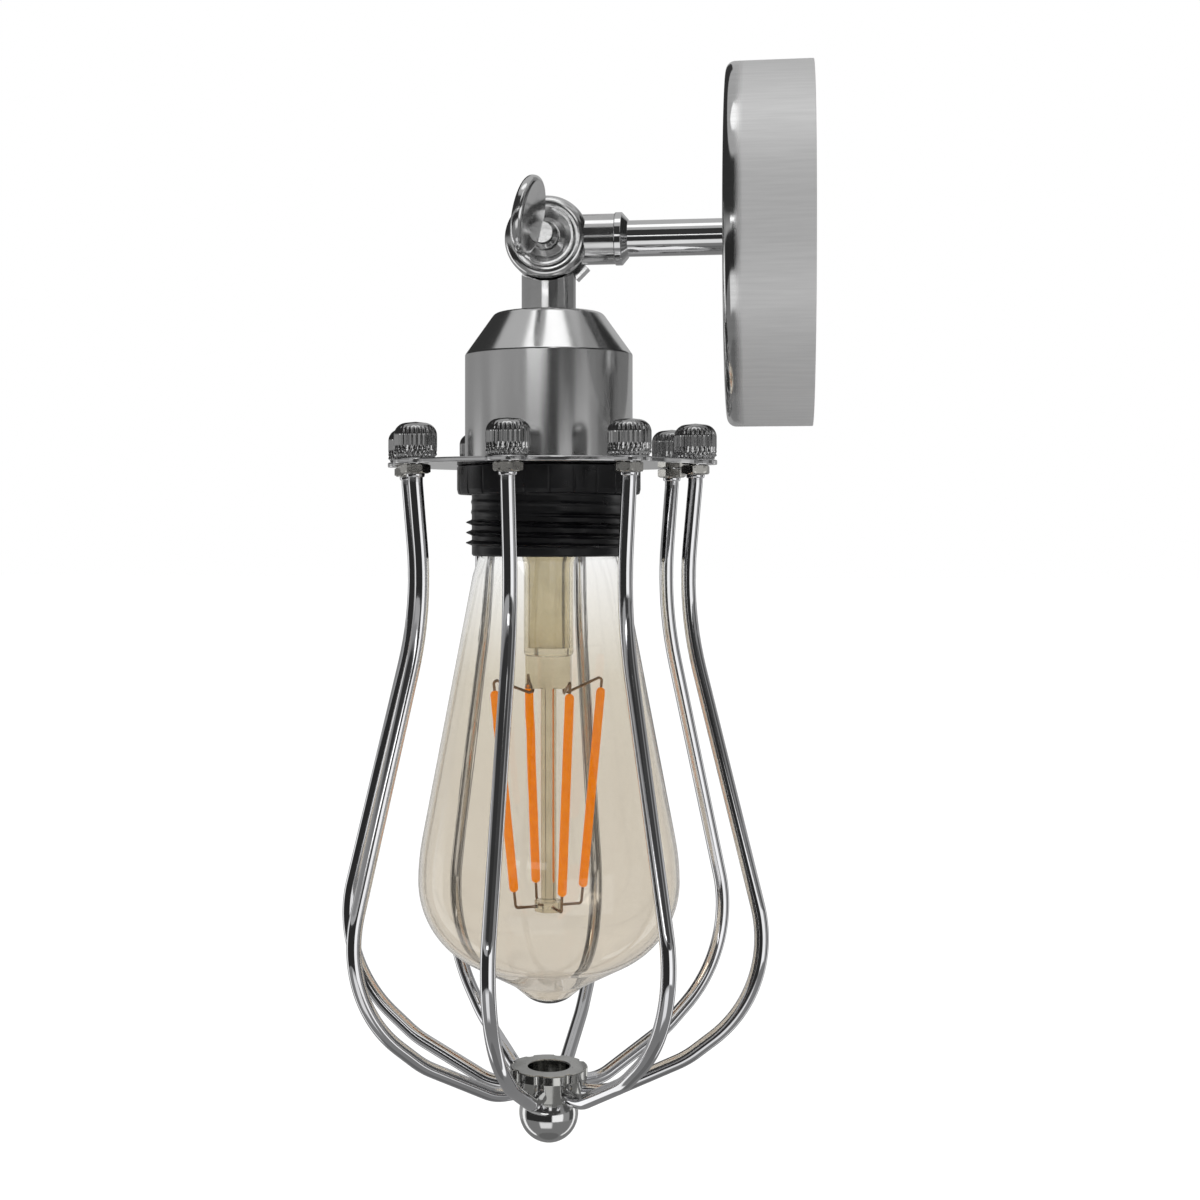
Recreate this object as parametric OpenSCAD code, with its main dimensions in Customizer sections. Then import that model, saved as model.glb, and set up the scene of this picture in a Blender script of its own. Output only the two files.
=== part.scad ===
// Cage wall light: a wall rose, a hollow stem, a tilting knuckle, and a lampholder that carries a filament
// bulb inside an open cage of bent rods.
//
// Millimetres. The wall is the plane Y = 0 and the lamp reaches out along -Y. The origin is at the centre of
// the rose's open back, and +Z is up.

/* [Rose] */
// Outside diameter of the wall rose
rose_d = 87; // [84:1:110]
// Depth of the rose, from the wall to its front face
rose_depth = 20.5; // [19:0.5:30]
// Sheet thickness of the rose
rose_wall = 1.2; // [0.8:0.1:1.8]
// Radius of the pressed front edge of the rose
rose_edge_r = 2.2; // [2:0.1:5]
// Diameter of the grub screws in the rim of the rose
grub_d = 4; // [3:0.5:5]
// Length of the grub screws
grub_len = 6; // [5:0.5:8]

/* [Wall strap] */
// Width of the strap
strap_w = 16; // [14:1:20]
// Thickness of the strap
strap_t = 1.6; // [1.2:0.1:2]
// Distance between the two wall screw holes
wall_hole_spacing = 54; // [50:1:62]
// Diameter of the wall screw holes
wall_hole_d = 4.5; // [3.5:0.1:5]
// Diameter of the hole that the supply cable comes through
cable_hole_d = 10; // [8:0.5:12]

/* [Stem] */
// Height of the stem above the centre of the rose
stem_rise = 2.5; // [0:0.5:4]
// Distance from the wall to the axis of the lamp
reach = 64; // [60:1:90]
// Outside diameter of the stem tube
stem_d = 8.8; // [8.4:0.1:9.4]
// Bore of the stem tube
stem_bore_d = 6; // [5.4:0.1:6.4]
// Length of stem inside the rose
stem_tail = 6.5; // [6:0.5:8]
// Outside diameter of the ring where the stem enters the knuckle
stem_ring_d = 12.9; // [12.4:0.1:15]
// Diameter of one insulated lead wire
wire_d = 1.9; // [1.4:0.1:2.2]

/* [Knuckle] */
// Radius of the two round knuckle halves
knuckle_r = 10.3; // [9.8:0.1:12]
// Width of one knuckle half along the pivot
knuckle_w = 6.4; // [6:0.1:9]
// Diameter of the collar that holds the stem
collar_d = 12.3; // [11.8:0.1:13]
// Distance from the pivot to the end of the collar
collar_reach = 16.4; // [15:0.1:20]
// Diameter of the neck above the cup
neck_d = 13.3; // [12.6:0.1:14.5]
// Distance from the pivot to the lower end of the neck
neck_reach = 17.9; // [16.5:0.1:24]
// Diameter of the pivot screw
pivot_d = 5; // [4:0.1:5.4]
// Diameter of the thumb screw's round leaf
leaf_d = 19; // [14:0.5:24]
// Thickness of the leaf
leaf_t = 2.8; // [2:0.1:4]
// Lean of the leaf from upright
leaf_lean = 12; // [-30:1:30]
// Turn of the leaf from the pivot's line, outwards from the wall
leaf_turn = 8; // [0:1:12]
// Height of the leaf's middle above the pivot screw
leaf_rise = 2.8; // [0:0.1:4]

/* [Cup] */
// Room between the cup and the lampholder inside it
cup_gap = 0.75; // [0.5:0.05:2]
// Height of the cup
cup_h = 36.3; // [34:0.1:44]
// Height of its sloping shoulder
cup_shoulder_h = 10.3; // [8:0.1:12]
// Diameter of its flat top
cup_top_d = 26.4; // [22:0.1:30]
// Sheet thickness of the cup
cup_wall = 1; // [0.6:0.1:1.2]

/* [Lampholder] */
// Room between the screw shell and the skirt round it
shell_room = 1.8; // [1.6:0.1:2.4]
// How far the part of the skirt that passes through the cage plate is set in
neck_step = 1.9; // [1.7:0.1:2.4]
// Depth of the outside thread
thread_depth = 1.5; // [1:0.1:1.6]
// Pitch of that thread
thread_pitch = 2.5; // [2:0.1:3]
// Length of the black skirt below the cage plate
skirt_h = 22; // [20:0.5:26]
// Wall of the skirt
skirt_wall = 1.5; // [1:0.1:1.6]
// Wall of the shade ring outside that thread
ring_wall = 2.1; // [1.5:0.1:3]
// Height of the shade ring
ring_h = 7; // [5:0.1:8]

/* [Bulb] */
// Largest diameter of the bulb
bulb_d = 64; // [60:0.5:68]
// Length of the bulb, from its contact to its tip
bulb_len = 140; // [136:1:150]
// Diameter of the screw cap
cap_d = 26; // [25.4:0.1:26.2]
// Wall of the glass
glass_wall = 0.8; // [0.5:0.1:1.2]
// Diameter of one filament
filament_d = 2.1; // [1.4:0.1:2.6]
// Length of one filament
filament_len = 49.5; // [44:0.5:52]
// Distance of the filaments from the axis, at the top
filament_top_r = 14; // [12:0.5:15]
// Distance of the filaments from the axis, at the foot
filament_foot_r = 9; // [8:0.5:11]

/* [Cage] */
// Number of rods
rods = 8; // [6:1:8]
// Angle of the first rod from the +X direction
cage_phase = -7.5; // [-20:0.5:20]
// Diameter of one rod
rod_d = 3.5; // [3:0.1:4]
// Least room between the bulb and the cage as it is lifted off
lift_gap = 0.8; // [0.6:0.1:3]
// How far the waist of the cage draws in from the screw circle
waist_in = 2.7; // [2:0.1:3.4]
// Height of the waist below the plate
waist_drop = 34.5; // [30:0.1:37]
// How far the belly of the cage stands out from the bulb, before its bend is rounded
belly_out = 24.2; // [18:0.1:30]
// Height of the belly above the foot of the rods
belly_up = 27.9; // [26:0.1:34]
// Bend radius at the belly
belly_bend_r = 32; // [25:1:36]
// How far the foot bend lies inside the belly
foot_in = 21.9; // [20:0.1:24]
// Height of the foot bend above the foot of the rods
foot_up = 9.8; // [8:0.1:11]
// Room between the tip of the bulb and the hub
tip_gap = 15.6; // [8:0.1:30]
// Outside diameter of the hub
hub_d = 19.1; // [17:0.1:22]
// Height of the hub
hub_h = 7.3; // [6.5:0.1:10]
// Bore of the hub
hub_bore_d = 10.2; // [8:0.1:10.6]
// Diameter of the ball finial
ball_d = 14.5; // [12:0.1:18]

/* [Cage plate] */
// Thickness of the cage plate
plate_t = 1.2; // [1:0.1:2]
// Radius of the lobes round the screws
lobe_r = 5.2; // [4.6:0.1:6]
// How far the plate's edge lies inside the screw circle's lobes
scallop = 3.4; // [2:0.1:4]
// Diameter of the knurled thumb nuts
thumb_nut_d = 10.2; // [9:0.1:11]
// Height of the thumb nuts
thumb_nut_h = 8.7; // [8:0.1:11]
// Width across the flats of the hexagon nuts
hex_af = 6.2; // [5.6:0.1:7]
// Thickness of the hexagon nuts
hex_h = 2.3; // [1.8:0.1:3.2]

/* [Hidden] */

$fn = 64;
over = 1;                        // how far a cutter runs past the face that it cuts
fit = 0.05;                      // radial clearance of a turning or sliding fit
seat = 0.02;                     // radial clearance of pieces that are screwed or pressed together
face_gap = 0.1;                  // gap between flat faces that turn on each other
arc_step = 9;                    // degrees between the points of a rounded corner
lap = 0.2;                       // how far the straights of a bent rod run into its bends
hair = 0.01;                     // how much thinner the radius of those straights is

// Wall end
rose_r = rose_d / 2;
rose_inside_r = rose_r - rose_wall;
rose_face = rose_depth - rose_wall;             // distance of the inside of the rose's face from the wall
stem_nut_t = 3;
stem_nut_d = stem_d * 1.8;
stem_washer_t = 0.8;
ear_out = rose_inside_r - 0.2;                  // the ears stand just inside the rim
ear_depth = rose_face - 4;
grub_out = rose_depth / 2;                      // distance of the grub screws from the wall
block_w = 24;
block_h = 10;
block_t = 11;
block_top = -cable_hole_d / 2 - 1.5;
block_pitch = 8;
block_tube_d = 4;
block_screw_d = 2.6;
earth_screw_d = 4;
earth_z = cable_hole_d / 2 + 5;
stem_end = rose_face - stem_tail;               // distance of the stem's open end from the wall
wire_apart = wire_d / 2 + 0.15;                 // half the distance between the two lead wires
wire_bend_r = 2.4;

// Knuckle
stem_ring_t = 1.7;
stem_ring_cone = 1.5;
knuckle_gap = 0.4;                              // clearance of the knuckle's round edge to the other half
collar_bore = knuckle_r + knuckle_gap + 0.1;    // distance from the pivot to the end of the stem
knuckle_edge_r = 2.4;
channel_in_r = pivot_d / 2 + 1.2;               // wire channel round the pivot
channel_out_r = knuckle_r - 2.8;
channel_depth = 3.4;
wire_way_d = 5;
stop_r = 11.7;                                  // distance of the stop lug's face from the pivot
stop_w = 4;
washer_r = 7.3;
washer_t = 1.7;
washer_rim = 0.9;
washer_floor = 0.6;
boss_d = pivot_d + 1.6;
boss_h = 3.5;
boss_cone_h = 1.6;
leaf_start = knuckle_w + washer_t + 3;
leaf_x = leaf_start + 2;                        // where the pivot screw ends inside the leaf
leaf_edge_r = leaf_t * 0.45;

// Heights in the head, measured from the pivot
nipple_d = 9.8;
nipple_bore_d = 7.2;
nipple_top = -knuckle_r - 1.4;                  // bottom of the threaded hole in the neck
end_gap = 0.3;                                  // room past the end of a screw or a nipple
cup_top = -neck_reach;
cup_end = cup_top - cup_h;
plate_top = cup_end;
plate_end = plate_top - plate_t;
skirt_end = plate_end - skirt_h;
shell_r = cap_d / 2 + 0.7;
bore_r = shell_r + shell_room;
skirt_neck_r = bore_r + skirt_wall;             // the part of the skirt that passes through the plate
skirt_r = skirt_neck_r + neck_step;             // bottom of the outside thread
crest_r = skirt_r + thread_depth;
ring_r = crest_r + ring_wall;
dome_r = skirt_r - 0.1;
cup_r = dome_r + cup_gap + cup_wall;
dome_wall = dome_r - skirt_neck_r - seat;
insert_end = plate_end + 9.2;
insert_t = 5;
dome_top = insert_end + insert_t + 7;
dome_roof = 2;
dome_hub_h = 3;
dome_hub_r = 7.5;
nipple_end = dome_top - dome_roof;
nipple_nut_t = 3;
nipple_nut_d = nipple_d * 1.6;
shell_wall = 0.4;
shell_h = 20;
shell_flange = 3;
contact_t = 0.7;
contact_w = 6;
contact_len = 8;
holder_screw_r = 8.5;                           // distance of the terminal screws from the axis
holder_screw_d = 3;
holder_head_d = 5.4;
holder_head_h = 1.6;
wire_side = 5;                                  // how far the lead wires enter beside their screws
thread_run = 0.55;                              // length under the plate that has no thread
skirt_hem_h = 1.2;                              // and the same at the foot of the skirt
throat_gap = 0.4;                               // room between the skirt's bore and the glass
mouth_gap = 0.9;                                // and at the skirt's mouth
groove_r = 0.5;
grooves = 24;

// Bulb
bulb_r = bulb_d / 2;
bulb_contact_z = insert_end - contact_t - fit;
bulb_tip = bulb_contact_z - bulb_len;
cap_h = 25;
cap_end = bulb_contact_z - cap_h;
cap_pitch = 3.6;
cap_wall = 0.6;
cap_thread = 0.6;                               // depth of the cap's thread
cap_tip_r = 0.35 * cap_d / 2;                   // radius of the cap's end contact
insulator_r = 0.8 * cap_d / 2;
cap_rim_h = 3.4;
cap_insulator_h = 4.6;
glass_neck_r = cap_d / 2 - 0.5;
cone_lean = 10.1;                               // lean of the bulb's upper cone from the axis
tip_lean = 62;                                  // and of the cone round its tip
cone_arc_r = 59;
belly_arc_r = 22;
nub_r = 8.8;                                    // where the cone meets the rounded nub at the tip
nub_h = 4.5;
nub_lean = 50;
nub_arc_r = 8;
nub_throat_r = 10;
nub_flat_r = nub_r - nub_h * tan(nub_lean);
bulb_wide_z = bulb_tip + nub_h + (bulb_r - nub_r) / tan(tip_lean) + belly_arc_r * tan(tip_lean / 2);
shoulder_z = skirt_end - 5;                     // where the cone turns in to the throat
glass_in_cap = 2.4;
throat_r = skirt_r - skirt_wall - throat_gap;   // radius of the glass where it leaves the skirt
flare_r = 6.1;
pinch_z = cap_end - 30;
pinch_h = 8;
pinch_t = 3.8;
pinch_end = pinch_z - pinch_h;
centre_rod_d = 3.8;
filament_lean = asin((filament_top_r - filament_foot_r) / filament_len);
filament_gap = 0.15;                            // from the pinch down to the filaments' tops
filament_foot = pinch_end - filament_gap - filament_len * cos(filament_lean);
button_r = 3.5;
button_h = 2.4;
button_grip = 1.1;                              // how deep the supports are held in the button
cross_z = filament_foot - 3.9;                  // height of the supports where they enter the button
support_d = 0.7;
support_stub = 2.8;
support_bend_r = 0.8;
lead_x = 0.9;                                   // where the supports leave the pinch
lead_y = 3.9;
filament_phase = 28;
filament_step = 90;
filaments = 4;

// Cage
hex_r = hex_af / 2 / cos(30);
screw_circle_r = bulb_r + lift_gap + hex_r;
hub_top = bulb_tip - tip_gap;
hub_end = hub_top - hub_h;
rod_foot_z = hub_end + rod_d / 2 + 0.4;
stud_d = rod_d - 0.4;
stud_top = plate_top + thumb_nut_h - 2.2;
rod_top = plate_end - hex_h;                    // where the full rod starts, under its hexagon nut
rod_collar_d = rod_d + 1;
rod_collar_h = 0.9;
rod_neck_h = 2.2;                               // straight length under the plate
top_bend_r = 8;
waist_bend_r = 90;
foot_bend_r = 25;
heel_bend_r = 12;
waist_z = plate_end - waist_drop;
belly_r = bulb_r + belly_out;
belly_z = rod_foot_z + belly_up;
foot_r = belly_r - foot_in;
foot_z = rod_foot_z + foot_up;
heel_r = hub_d / 2 + 5.4;
rod_end_r = hub_bore_d / 2 + 1.3;
plate_edge_r = screw_circle_r + lobe_r - scallop;
flutes = 28;
flute_depth = 0.35;
nut_dome_r = 3;
hub_taper = 1.3;
hub_rim_h = 2.2;
hub_flute_r = 1.1;
ball_drop = 4;                                  // distance of the ball's centre below the hub
ball_stud_h = 3;

// Unit vector along v
function unit(v) = v / norm(v);
// Angle of the vector v, in degrees
function heading(v) = atan2(v[1], v[0]);
// Turn from heading a to heading b, between -180 and 180 degrees
function turn(a, b) = let (d = b - a) d > 180 ? d - 360 : d < -180 ? d + 360 : d;
// Angle that a path turns through at b
function corner(a, b, c) = acos(unit(b - a) * unit(c - b));
// Length of the straight that the bend of radius r takes up on each side of corner b
function bend_cut(a, b, c, r) = r * tan(abs(turn(heading(b - a), heading(c - b))) / 2);
// Centre of that bend
function bend_centre(a, b, c, r) =
    let (u = unit(b - a), side = sign(turn(heading(b - a), heading(c - b))))
    b - u * bend_cut(a, b, c, r) + r * side * [-u[1], u[0]];

// Points of a closed outline given as [x, y, corner radius]; a corner of radius 0 stays sharp
function rounded(outline) = [
    for (i = [0:len(outline) - 1])
        let (n = len(outline),
             a = [for (k = [0:1]) outline[(i + n - 1) % n][k]],
             b = [for (k = [0:1]) outline[i][k]],
             c = [for (k = [0:1]) outline[(i + 1) % n][k]],
             r = outline[i][2],
             t = turn(heading(b - a), heading(c - b)),
             steps = r == 0 ? 0 : max(1, ceil(abs(t) / arc_step)),
             m = bend_centre(a, b, c, r),
             start = b - unit(b - a) * bend_cut(a, b, c, r) - m)
        for (k = [0:steps])
            steps == 0 ? b : m + [start[0] * cos(t * k / steps) - start[1] * sin(t * k / steps),
                                  start[0] * sin(t * k / steps) + start[1] * cos(t * k / steps)]];

// A solid of revolution about Z from an outline of [radius, z, corner radius]
module turned(outline) {
    rotate_extrude() polygon(rounded(outline));
}

// Places children on point p with +Z along v
module aimed(p, v) {
    translate(p) rotate([0, acos(v[2] / norm(v)), heading(v)]) children();
}

// Round rod or wire along a chain of [[x, y, z], bend radius] corners, with true arcs at the bends. The
// straights are a hair thinner than the bends and lap into them, so that each joint is a clean step.
module bent_rod(path, d) {
    last = len(path) - 1;
    cuts = [for (i = [0:last]) i == 0 || i == last ? 0
        : path[i][1] * tan(corner(path[i - 1][0], path[i][0], path[i + 1][0]) / 2)];
    for (i = [0:last - 1]) {
        along = unit(path[i + 1][0] - path[i][0]);
        start = path[i][0] + along * (cuts[i] - (i == 0 ? 0 : lap));
        end = path[i + 1][0] - along * (cuts[i + 1] - (i == last - 1 ? 0 : lap));
        aimed(start, along) cylinder(d = d - 2 * hair, h = norm(end - start));
    }
    for (i = [1:1:last - 1]) {
        u = unit(path[i][0] - path[i - 1][0]);
        axis = unit(cross(u, unit(path[i + 1][0] - path[i][0])));
        in = cross(axis, u);                    // from the start of the bend to its centre
        centre = path[i][0] - u * cuts[i] + in * path[i][1];
        multmatrix([[-in[0], u[0], axis[0], centre[0]],
                    [-in[1], u[1], axis[1], centre[1]],
                    [-in[2], u[2], axis[2], centre[2]],
                    [0, 0, 0, 1]])
            rotate_extrude(angle = corner(path[i - 1][0], path[i][0], path[i + 1][0]))
                translate([path[i][1], 0]) circle(d = d);
    }
}

// Turns +Z to point out from the wall, with z = 0 on the wall
module from_wall() {
    rotate([90, 0, 0]) children();
}

// Turns +Z to point out from the wall along the axis of the stem
module along_stem() {
    translate([0, 0, stem_rise]) from_wall() children();
}

// Puts the pivot of the knuckle at the local origin
module at_pivot() {
    translate([0, -reach, stem_rise]) children();
}

// Turns +Z to point along the pivot, towards +X
module along_pivot() {
    rotate([0, 90, 0]) children();
}

// Places children at every rod, on the screw circle
module at_rods() {
    for (i = [1:rods]) at_rod(i) children();
}

module at_rod(i) {
    at_pivot() rotate([0, 0, cage_phase + 360 * (i - 1) / rods]) children();
}

// ---- Wall end ----

module rose_cover() {
    color("silver")
        difference() {
            from_wall()
                turned([[0, 0, 0], [rose_r, 0, 0], [rose_r, rose_depth, rose_edge_r], [0, rose_depth, 0]]);
            from_wall()
                turned([[0, -over, 0], [rose_inside_r, -over, 0],
                        [rose_inside_r, rose_face, rose_edge_r - rose_wall / 2], [0, rose_face, 0]]);
            along_stem() cylinder(d = stem_d + 2 * seat, h = rose_depth + over);
            translate([0, -grub_out, -rose_r - over])
                cylinder(d = grub_d + 2 * seat, h = 2 * (rose_r + over));
        }
}

module wall_strap() {
    color("lightsteelblue")
        difference() {
            // a cup as wide as the inside of the rim, cut down to the strap with its two bent ears
            intersection() {
                from_wall()
                    difference() {
                        cylinder(r = ear_out, h = ear_depth);
                        translate([0, 0, strap_t]) cylinder(r = ear_out - strap_t, h = ear_depth);
                    }
                translate([-strap_w / 2, -ear_depth, -ear_out]) cube([strap_w, ear_depth, 2 * ear_out]);
            }
            strap_holes();
        }
}

module strap_holes() {
    translate([0, over, 0]) from_wall() cylinder(d = cable_hole_d, h = strap_t + 2 * over);
    for (side = [-1, 1])
        translate([0, over, side * wall_hole_spacing / 2])
            from_wall() cylinder(d = wall_hole_d, h = strap_t + 2 * over);
    translate([0, over, earth_z])
        from_wall() cylinder(d = earth_screw_d + 2 * seat, h = strap_t + 2 * over);
    translate([0, -grub_out, -rose_r]) cylinder(d = grub_d + 2 * seat, h = rose_d);
}

module grub_screws() {
    color("dimgray")
        for (side = [0, 1])
            mirror([0, 0, side])
                translate([0, -grub_out, rose_r - grub_len - 0.3])
                    difference() {
                        cylinder(d = grub_d, h = grub_len);
                        translate([0, 0, grub_len - 2]) cylinder(d = grub_d / 2, h = 2 + over, $fn = 6);
                    }
}

module stem_nut() {
    color("goldenrod")
        along_stem() translate([0, 0, rose_face - stem_washer_t - stem_nut_t])
            difference() {
                cylinder(d = stem_nut_d, h = stem_nut_t, $fn = 6);
                translate([0, 0, -over]) cylinder(d = stem_d + 2 * seat, h = stem_nut_t + 2 * over);
            }
}

module stem_washer() {
    color("lightgray")
        along_stem() translate([0, 0, rose_face - stem_washer_t])
            difference() {
                cylinder(d = stem_nut_d + 2, h = stem_washer_t);
                translate([0, 0, -over]) cylinder(d = stem_d + 2 * seat, h = stem_washer_t + 2 * over);
            }
}

// Places children on the axis of each of the block's three tubes, with +Z up through the block
module at_block_tubes() {
    for (i = [-1:1])
        translate([i * block_pitch, -strap_t - block_t / 2, block_top - block_h]) children();
}

module terminal_block() {
    color("ivory")
        difference() {
            translate([-block_w / 2, -strap_t - block_t, block_top - block_h])
                cube([block_w, block_t, block_h]);
            at_block_tubes() {
                translate([0, 0, -over]) cylinder(d = block_tube_d + 2 * seat, h = block_h + 2 * over);
                for (z = [0.3, 0.7])
                    translate([0, 0, z * block_h])
                        from_wall() cylinder(d = block_screw_d + 2 * seat, h = block_t);
            }
        }
}

module terminal_tubes() {
    color("goldenrod")
        at_block_tubes()
            difference() {
                translate([0, 0, 0.5]) cylinder(d = block_tube_d, h = block_h - 1);
                translate([0, 0, -over]) cylinder(d = wire_d + 2 * seat, h = block_h + 2 * over);
                for (z = [0.3, 0.7])
                    translate([0, 0, z * block_h])
                        from_wall() cylinder(d = block_screw_d + 2 * seat, h = block_t);
            }
}

module terminal_screws() {
    color("lightgray")
        at_block_tubes()
            for (z = [0.3, 0.7])
                translate([0, -wire_d / 2 - seat, z * block_h])
                    from_wall() cylinder(d = block_screw_d, h = block_t / 2 - 2);
}

module earth_screw() {
    color("gold")
        translate([0, 0, earth_z]) {
            translate([0, -0.2, 0]) from_wall() cylinder(d = earth_screw_d, h = strap_t + 0.2);
            translate([0, -strap_t, 0]) from_wall() cylinder(d = 2 * earth_screw_d, h = 2.4);
        }
}

module stem_wires() {
    color("saddlebrown")
        for (side = [-1, 1])
            bent_rod([[[side * block_pitch, -strap_t - block_t / 2, block_top - block_h / 2], 0],
                      [[side * block_pitch, -strap_t - block_t / 2, stem_rise], wire_bend_r],
                      [[side * wire_apart, wire_bend_r - stem_end, stem_rise], wire_bend_r],
                      [[side * wire_apart, collar_bore + end_gap - reach, stem_rise], 0]], wire_d);
}

// ---- Stem and knuckle ----

module stem_tube() {
    color("gainsboro")
        along_stem() translate([0, 0, stem_end])
            difference() {
                cylinder(d = stem_d, h = reach - collar_bore - stem_end);
                translate([0, 0, -over])
                    cylinder(d = stem_bore_d, h = reach - collar_bore - stem_end + 2 * over);
            }
}

module stem_ring() {
    r = stem_ring_d / 2;
    top = collar_reach + stem_ring_t + stem_ring_cone;
    color("silver")
        at_pivot() rotate([-90, 0, 0])
            turned([[stem_d / 2 + seat, collar_reach, 0], [r, collar_reach, 0.3],
                    [r, top - stem_ring_cone, 0.3], [stem_d / 2 + 0.4, top, 0],
                    [stem_d / 2 + seat, top, 0]]);
}

// One round half of the knuckle, from x = 0 towards +X, with its wire channel and pivot hole
module knuckle_round(hole_d) {
    along_pivot()
        difference() {
            turned([[0, face_gap / 2, 0], [knuckle_r, face_gap / 2, 0],
                    [knuckle_r, knuckle_w, knuckle_edge_r], [0, knuckle_w, 0]]);
            translate([0, 0, -over]) cylinder(d = hole_d, h = knuckle_w + 2 * over);
            knuckle_channel();
        }
}

module knuckle_channel() {
    difference() {
        cylinder(r = channel_out_r, h = channel_depth);
        translate([0, 0, -over]) cylinder(r = channel_in_r, h = channel_depth + 2 * over);
    }
}

// The space that the other half's round edge turns in, on the side x < 0
module knuckle_sweep() {
    along_pivot() translate([0, 0, -neck_d])
        cylinder(r = knuckle_r + knuckle_gap, h = neck_d + face_gap / 2);
}

module knuckle_fixed() {
    color("silver")
        at_pivot()
            difference() {
                union() {
                    knuckle_round(pivot_d + 2 * fit);
                    difference() {
                        rotate([-90, 0, 0]) cylinder(d = collar_d, h = collar_reach);
                        knuckle_sweep();
                        along_pivot() cylinder(r = knuckle_r - 1, h = knuckle_w);
                    }
                }
                translate([0, collar_bore, 0])
                    rotate([-90, 0, 0]) cylinder(d = stem_d + 2 * seat, h = collar_reach);
                translate([0, channel_in_r + 1, 0])
                    rotate([-90, 0, 0]) cylinder(d = wire_way_d, h = collar_reach);
            }
}

module knuckle_tilting() {
    color("silver")
        at_pivot()
            difference() {
                union() {
                    mirror([1, 0, 0]) knuckle_round(pivot_d + 2 * fit);
                    difference() {
                        translate([0, 0, -neck_reach]) cylinder(d = neck_d, h = neck_reach);
                        mirror([1, 0, 0]) knuckle_sweep();
                        mirror([1, 0, 0]) along_pivot() cylinder(r = knuckle_r - 1, h = knuckle_w);
                    }
                    stop_lug();
                }
                translate([0, 0, -neck_reach - over])
                    cylinder(d = nipple_d + 2 * seat, h = neck_reach + nipple_top + over);
                translate([0, 0, -neck_reach]) cylinder(d = wire_way_d, h = neck_reach - channel_in_r - 1);
            }
}

// Square lug between the neck and the collar, on the rear half
module stop_lug() {
    translate([-knuckle_w + 1, 0, 0])
        rotate([-45, 0, 0])
            translate([0, knuckle_r - 2, -stop_w / 2])
                cube([knuckle_w - 1 - face_gap, stop_r - knuckle_r + 2, stop_w]);
}

module dished_washer() {
    color("gainsboro")
        at_pivot() along_pivot() translate([0, 0, knuckle_w])
            turned([[pivot_d / 2 + fit, 0, 0], [washer_r, 0, 0], [washer_r, washer_t, 0.4],
                    [washer_r - washer_rim, washer_t, 0], [boss_d / 2 + 0.3, washer_floor, 0],
                    [pivot_d / 2 + fit, washer_floor, 0]]);
}

module thumb_screw() {
    color("silver")
        at_pivot() {
            along_pivot() translate([0, 0, -knuckle_w]) cylinder(d = pivot_d, h = knuckle_w + leaf_x);
            along_pivot() translate([0, 0, knuckle_w + washer_floor + face_gap])
                turned([[0, 0, 0], [boss_d / 2, 0, 0], [boss_d / 2, boss_h - boss_cone_h, 0],
                        [pivot_d / 2 - 0.2, boss_h, 0], [0, boss_h, 0]]);
            rotate([-leaf_lean, 0, -leaf_turn])
                translate([leaf_start + leaf_d / 2, 0, leaf_rise])
                    rotate([90, 0, 0])
                        turned([[0, -leaf_t / 2, 0], [leaf_d / 2, -leaf_t / 2, leaf_edge_r],
                                [leaf_d / 2, leaf_t / 2, leaf_edge_r], [0, leaf_t / 2, 0]]);
        }
}

// ---- Lamp head ----

module cup() {
    color("silver")
        at_pivot()
            difference() {
                turned([[0, cup_top, 0], [0, cup_end, 0], [cup_r, cup_end, 0],
                        [cup_r, cup_top - cup_shoulder_h, 0.6], [cup_top_d / 2, cup_top, 2]]);
                turned([[0, cup_top - cup_wall, 0], [0, cup_end - over, 0],
                        [cup_r - cup_wall, cup_end - over, 0],
                        [cup_r - cup_wall, cup_top - cup_shoulder_h - cup_wall / 2, 0],
                        [cup_top_d / 2 - cup_wall / 2, cup_top - cup_wall, 1]]);
                translate([0, 0, cup_top - 2 * cup_wall]) cylinder(d = nipple_d + 2 * seat, h = 4 * cup_wall);
            }
}

module nipple() {
    color("goldenrod")
        at_pivot() translate([0, 0, nipple_end])
            difference() {
                cylinder(d = nipple_d, h = nipple_top - end_gap - nipple_end);
                translate([0, 0, -over]) cylinder(d = nipple_bore_d, h = nipple_top - nipple_end + 2 * over);
            }
}

module nipple_nut() {
    color("goldenrod")
        at_pivot() translate([0, 0, cup_top - cup_wall - nipple_nut_t])
            difference() {
                cylinder(d = nipple_nut_d, h = nipple_nut_t, $fn = 6);
                translate([0, 0, -over]) cylinder(d = nipple_d + 2 * seat, h = nipple_nut_t + 2 * over);
            }
}

module holder_dome() {
    inner_r = dome_r - dome_wall;
    color("#1a1a1c")
        at_pivot()
            difference() {
                turned([[0, dome_top + dome_hub_h, 0], [0, plate_top, 0], [dome_r, plate_top, 0],
                        [dome_r, dome_top, 3], [dome_hub_r, dome_top, 0],
                        [dome_hub_r, dome_top + dome_hub_h, 0.5]]);
                turned([[0, nipple_end, 0], [0, plate_top - over, 0], [inner_r, plate_top - over, 0],
                        [inner_r, nipple_end, 2]]);
                translate([0, 0, nipple_end - over])
                    cylinder(d = nipple_d + 2 * seat, h = dome_roof + dome_hub_h + 2 * over);
            }
}

module holder_insert() {
    color("white")
        at_pivot()
            difference() {
                translate([0, 0, insert_end]) cylinder(r = skirt_neck_r - 0.2, h = insert_t);
                for (side = [-1, 1])
                    translate([side * holder_screw_r, 0, insert_end - over]) {
                        cylinder(d = holder_screw_d + 2 * seat, h = insert_t + 2 * over);
                        translate([0, wire_side, 0])
                            cylinder(d = wire_d + 2 * seat, h = insert_t + 2 * over);
                    }
            }
}

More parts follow.
